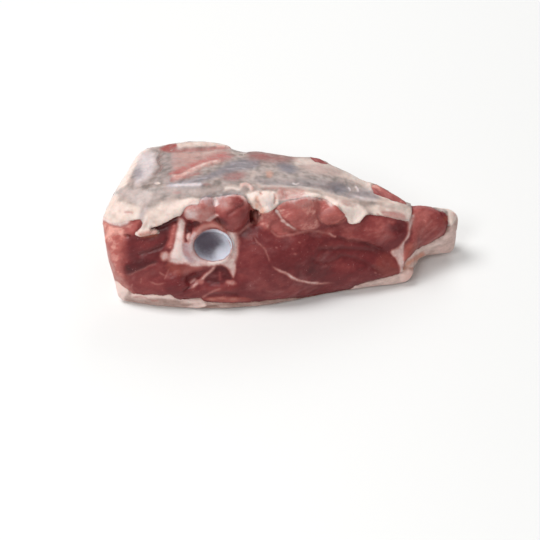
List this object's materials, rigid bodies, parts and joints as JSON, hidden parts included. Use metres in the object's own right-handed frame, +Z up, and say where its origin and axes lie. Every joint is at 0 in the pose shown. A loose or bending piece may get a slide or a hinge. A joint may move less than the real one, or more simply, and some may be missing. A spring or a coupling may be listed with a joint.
{
  "type": "pork shoulder",
  "caption": "Raw bone-in joint of pork shoulder lying on its skin side, with a lean cut face, an open blade bone socket, a fatty cover over the top and a tapering thin end.",
  "frame": {"origin": "middle of the footprint, on the surface that the joint rests on", "axes": "+X towards the thin end, -Y out of the cut face with the bone socket, +Z up"},
  "size_m": [0.2482, 0.1054, 0.0849],
  "materials": {
    "meat": "moist raw lean meat with pale membrane and fat on top",
    "fat": "soft pale pink fat and skin, slightly moist",
    "bone": "smooth bluish white cartilage over bone, glossy"
  },
  "bodies": {
    "root": {"meat": "meat", "fat_and_skin": "fat", "blade_bone": "bone"}
  },
  "joints": []
}
